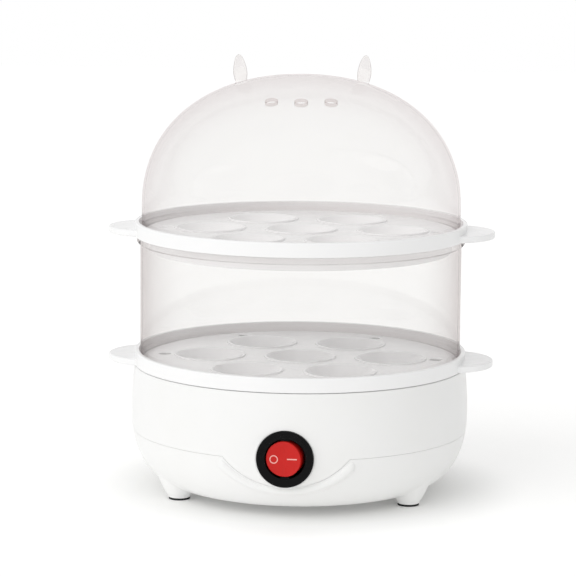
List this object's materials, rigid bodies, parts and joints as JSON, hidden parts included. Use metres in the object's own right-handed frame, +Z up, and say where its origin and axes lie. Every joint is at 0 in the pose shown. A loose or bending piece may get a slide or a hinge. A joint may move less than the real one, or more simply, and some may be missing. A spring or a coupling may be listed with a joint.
{
  "type": "two-tier egg boiler",
  "caption": "Countertop egg boiler with a round heated base and round rocker switch, egg trays with side tabs, a clear ring, and a clear domed lid with ears.",
  "frame": {"origin": "on the table, under the middle of the overall box", "axes": "+Z up; the switch faces -Y; the tray tabs point along X"},
  "size_m": [0.196, 0.178, 0.2221],
  "materials": {
    "white_plastic": "glossy moulded polypropylene, warm white",
    "clear_plastic": "clear moulded plastic, faintly smoky",
    "black_plastic": "glossy black moulding",
    "red_plastic": "glossy red moulding",
    "pale_plastic": "matt pale moulding",
    "phenolic": "matt dark heat-proof moulding",
    "dark_rubber": "soft dark rubber",
    "silicone": "translucent pale silicone",
    "stainless": "brushed stainless sheet",
    "zinc_steel": "zinc-plated steel",
    "aluminium": "plain aluminium",
    "brass": "plain brass",
    "brown_sleeve": "brown wire insulation",
    "blue_sleeve": "blue wire insulation",
    "green_sleeve": "green wire insulation",
    "glass_sleeve": "woven heat-proof wire sleeve"
  },
  "bodies": {
    "base": {"upper_housing": "white_plastic", "lower_housing": "white_plastic", "foot_pad_1": "dark_rubber", "foot_pad_2": "dark_rubber", "foot_pad_3": "dark_rubber", "housing_screw_1": "zinc_steel", "housing_screw_2": "zinc_steel", "housing_screw_3": "zinc_steel", "cord_grommet": "dark_rubber", "heating_plate": "stainless", "plate_seal": "silicone", "plate_nut_1": "zinc_steel", "plate_nut_2": "zinc_steel", "plate_nut_3": "zinc_steel", "earth_tag": "brass", "heat_spreader": "aluminium", "heating_element": "zinc_steel", "thermostat": "phenolic", "thermostat_bracket": "zinc_steel", "bracket_screw_1": "zinc_steel", "bracket_screw_2": "zinc_steel", "thermal_fuse": "stainless", "fuse_clip": "aluminium", "terminal_block": "pale_plastic", "terminal_screw_1": "brass", "terminal_screw_2": "brass", "terminal_screw_3": "brass", "live_lead": "brown_sleeve", "switch_lead": "brown_sleeve", "neutral_lead": "blue_sleeve", "earth_lead": "green_sleeve", "fuse_lead_in": "glass_sleeve", "fuse_lead_out": "glass_sleeve", "switch_body": "black_plastic", "switch_blade_1": "brass", "switch_blade_2": "brass"},
    "rocker": {"rocker": "red_plastic", "rocker_plunger": "brass", "plunger_spring": "stainless"},
    "contact_arm": {"contact_arm": "brass"},
    "lower_tray": {"lower_tray": "white_plastic"},
    "clear_ring": {"clear_ring": "clear_plastic"},
    "upper_tray": {"upper_tray": "white_plastic"},
    "dome_lid": {"dome_lid": "clear_plastic"}
  },
  "joints": [
    {"name": "rocker_tilt", "type": "hinge", "parent": "base", "child": "rocker", "pos_m": [0, -0.0823, 0.0329], "axis": [0, 0, 1], "range_deg": [0, 22]},
    {"name": "contact_tilt", "type": "hinge", "parent": "base", "child": "contact_arm", "pos_m": [0, -0.07255, 0.0329], "axis": [0, 0, 1], "range_deg": [-16, 0]},
    {"name": "lower_tray_lift", "type": "slide", "parent": "base", "child": "lower_tray", "axis": [0, 0, 1], "range_m": [0, 0.04]},
    {"name": "ring_lift", "type": "slide", "parent": "lower_tray", "child": "clear_ring", "axis": [0, 0, 1], "range_m": [0, 0.07]},
    {"name": "upper_tray_lift", "type": "slide", "parent": "clear_ring", "child": "upper_tray", "axis": [0, 0, 1], "range_m": [0, 0.04]},
    {"name": "lid_lift", "type": "slide", "parent": "upper_tray", "child": "dome_lid", "axis": [0, 0, 1], "range_m": [0, 0.09]}
  ],
  "couplings": [
    {"joint": "contact_tilt", "follows": "rocker_tilt", "ratio": -0.727}
  ]
}
